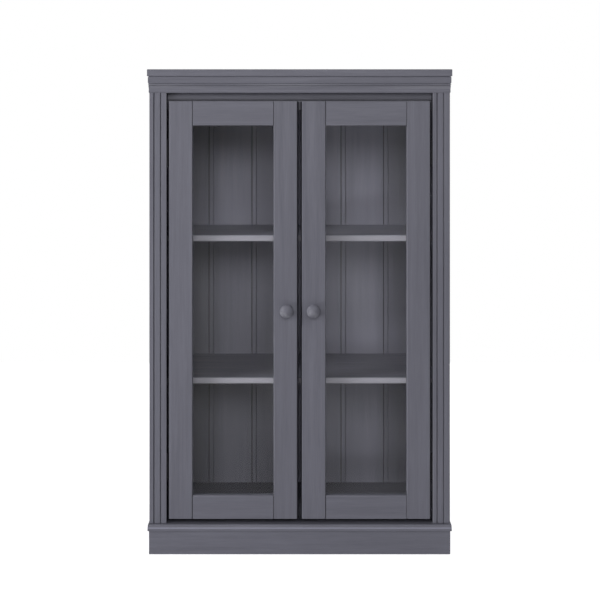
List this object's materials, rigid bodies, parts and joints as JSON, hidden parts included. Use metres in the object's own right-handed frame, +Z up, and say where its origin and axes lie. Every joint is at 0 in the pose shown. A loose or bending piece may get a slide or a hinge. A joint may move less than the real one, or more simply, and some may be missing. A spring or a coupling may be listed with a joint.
{
  "type": "display cabinet",
  "caption": "Tall painted-wood display cabinet: glazed hinged doors with turned knobs, shelves, boarded back, reeded corner posts, moulded crown and plinth.",
  "frame": {"origin": "on the floor, under the middle of the box around the whole object, knobs included", "axes": "+X to the right when facing the doors, +Y from the doors to the back, +Z up"},
  "size_m": [0.882, 0.407, 1.4],
  "materials": {
    "paint_upright": "graphite satin paint, grain upright",
    "paint_across": "graphite satin paint, grain across",
    "paint_deep": "graphite satin paint, grain front to back",
    "board_upright": "graphite satin paint on upright boards",
    "shelf_across": "graphite satin paint, worn lighter",
    "painted_knob": "turned and painted",
    "clear_glass": "clear float glass",
    "dark_hinge_steel": "dark steel",
    "bright_steel": "zinc-plated steel"
  },
  "bodies": {
    "cabinet": {"back_board_1": "board_upright", "back_board_2": "board_upright", "back_board_3": "board_upright", "back_board_4": "board_upright", "back_board_5": "board_upright", "back_board_6": "board_upright", "base_board": "paint_across", "cornice_board": "paint_across", "crown_back": "paint_across", "crown_front": "paint_across", "crown_left": "paint_deep", "crown_right": "paint_deep", "header_rail": "paint_across", "left_lower_hinge_frame_leaf": "dark_hinge_steel", "left_lower_hinge_pin": "dark_hinge_steel", "left_magnet": "bright_steel", "left_upper_hinge_frame_leaf": "dark_hinge_steel", "left_upper_hinge_pin": "dark_hinge_steel", "lower_cleat_left": "paint_deep", "lower_cleat_right": "paint_deep", "pilaster_left": "paint_upright", "pilaster_right": "paint_upright", "plinth_back": "paint_across", "plinth_front": "paint_across", "plinth_left": "paint_deep", "plinth_right": "paint_deep", "right_lower_hinge_frame_leaf": "dark_hinge_steel", "right_lower_hinge_pin": "dark_hinge_steel", "right_magnet": "bright_steel", "right_upper_hinge_frame_leaf": "dark_hinge_steel", "right_upper_hinge_pin": "dark_hinge_steel", "shelf_lower": "shelf_across", "shelf_upper": "shelf_across", "side_panel_left": "paint_upright", "side_panel_right": "paint_upright", "top_panel": "paint_across", "upper_cleat_left": "paint_deep", "upper_cleat_right": "paint_deep"},
    "left_door": {"left_bottom_rail": "paint_across", "left_glass": "clear_glass", "left_hinge_stile": "paint_upright", "left_knob": "painted_knob", "left_knob_screw": "bright_steel", "left_lock_stile": "paint_upright", "left_lower_hinge_door_leaf": "dark_hinge_steel", "left_strike": "bright_steel", "left_top_rail": "paint_across", "left_upper_hinge_door_leaf": "dark_hinge_steel"},
    "right_door": {"right_bottom_rail": "paint_across", "right_glass": "clear_glass", "right_hinge_stile": "paint_upright", "right_knob": "painted_knob", "right_knob_screw": "bright_steel", "right_lock_stile": "paint_upright", "right_lower_hinge_door_leaf": "dark_hinge_steel", "right_strike": "bright_steel", "right_top_rail": "paint_across", "right_upper_hinge_door_leaf": "dark_hinge_steel"}
  },
  "joints": [
    {"name": "left_door_hinge", "type": "hinge", "parent": "cabinet", "child": "left_door", "pos_m": [-0.3825, -0.1675, 0.7039], "axis": [0, 0, -1], "range_deg": [0, 105]},
    {"name": "right_door_hinge", "type": "hinge", "parent": "cabinet", "child": "right_door", "pos_m": [0.3825, -0.1675, 0.7039], "axis": [0, 0, 1], "range_deg": [0, 105]}
  ]
}
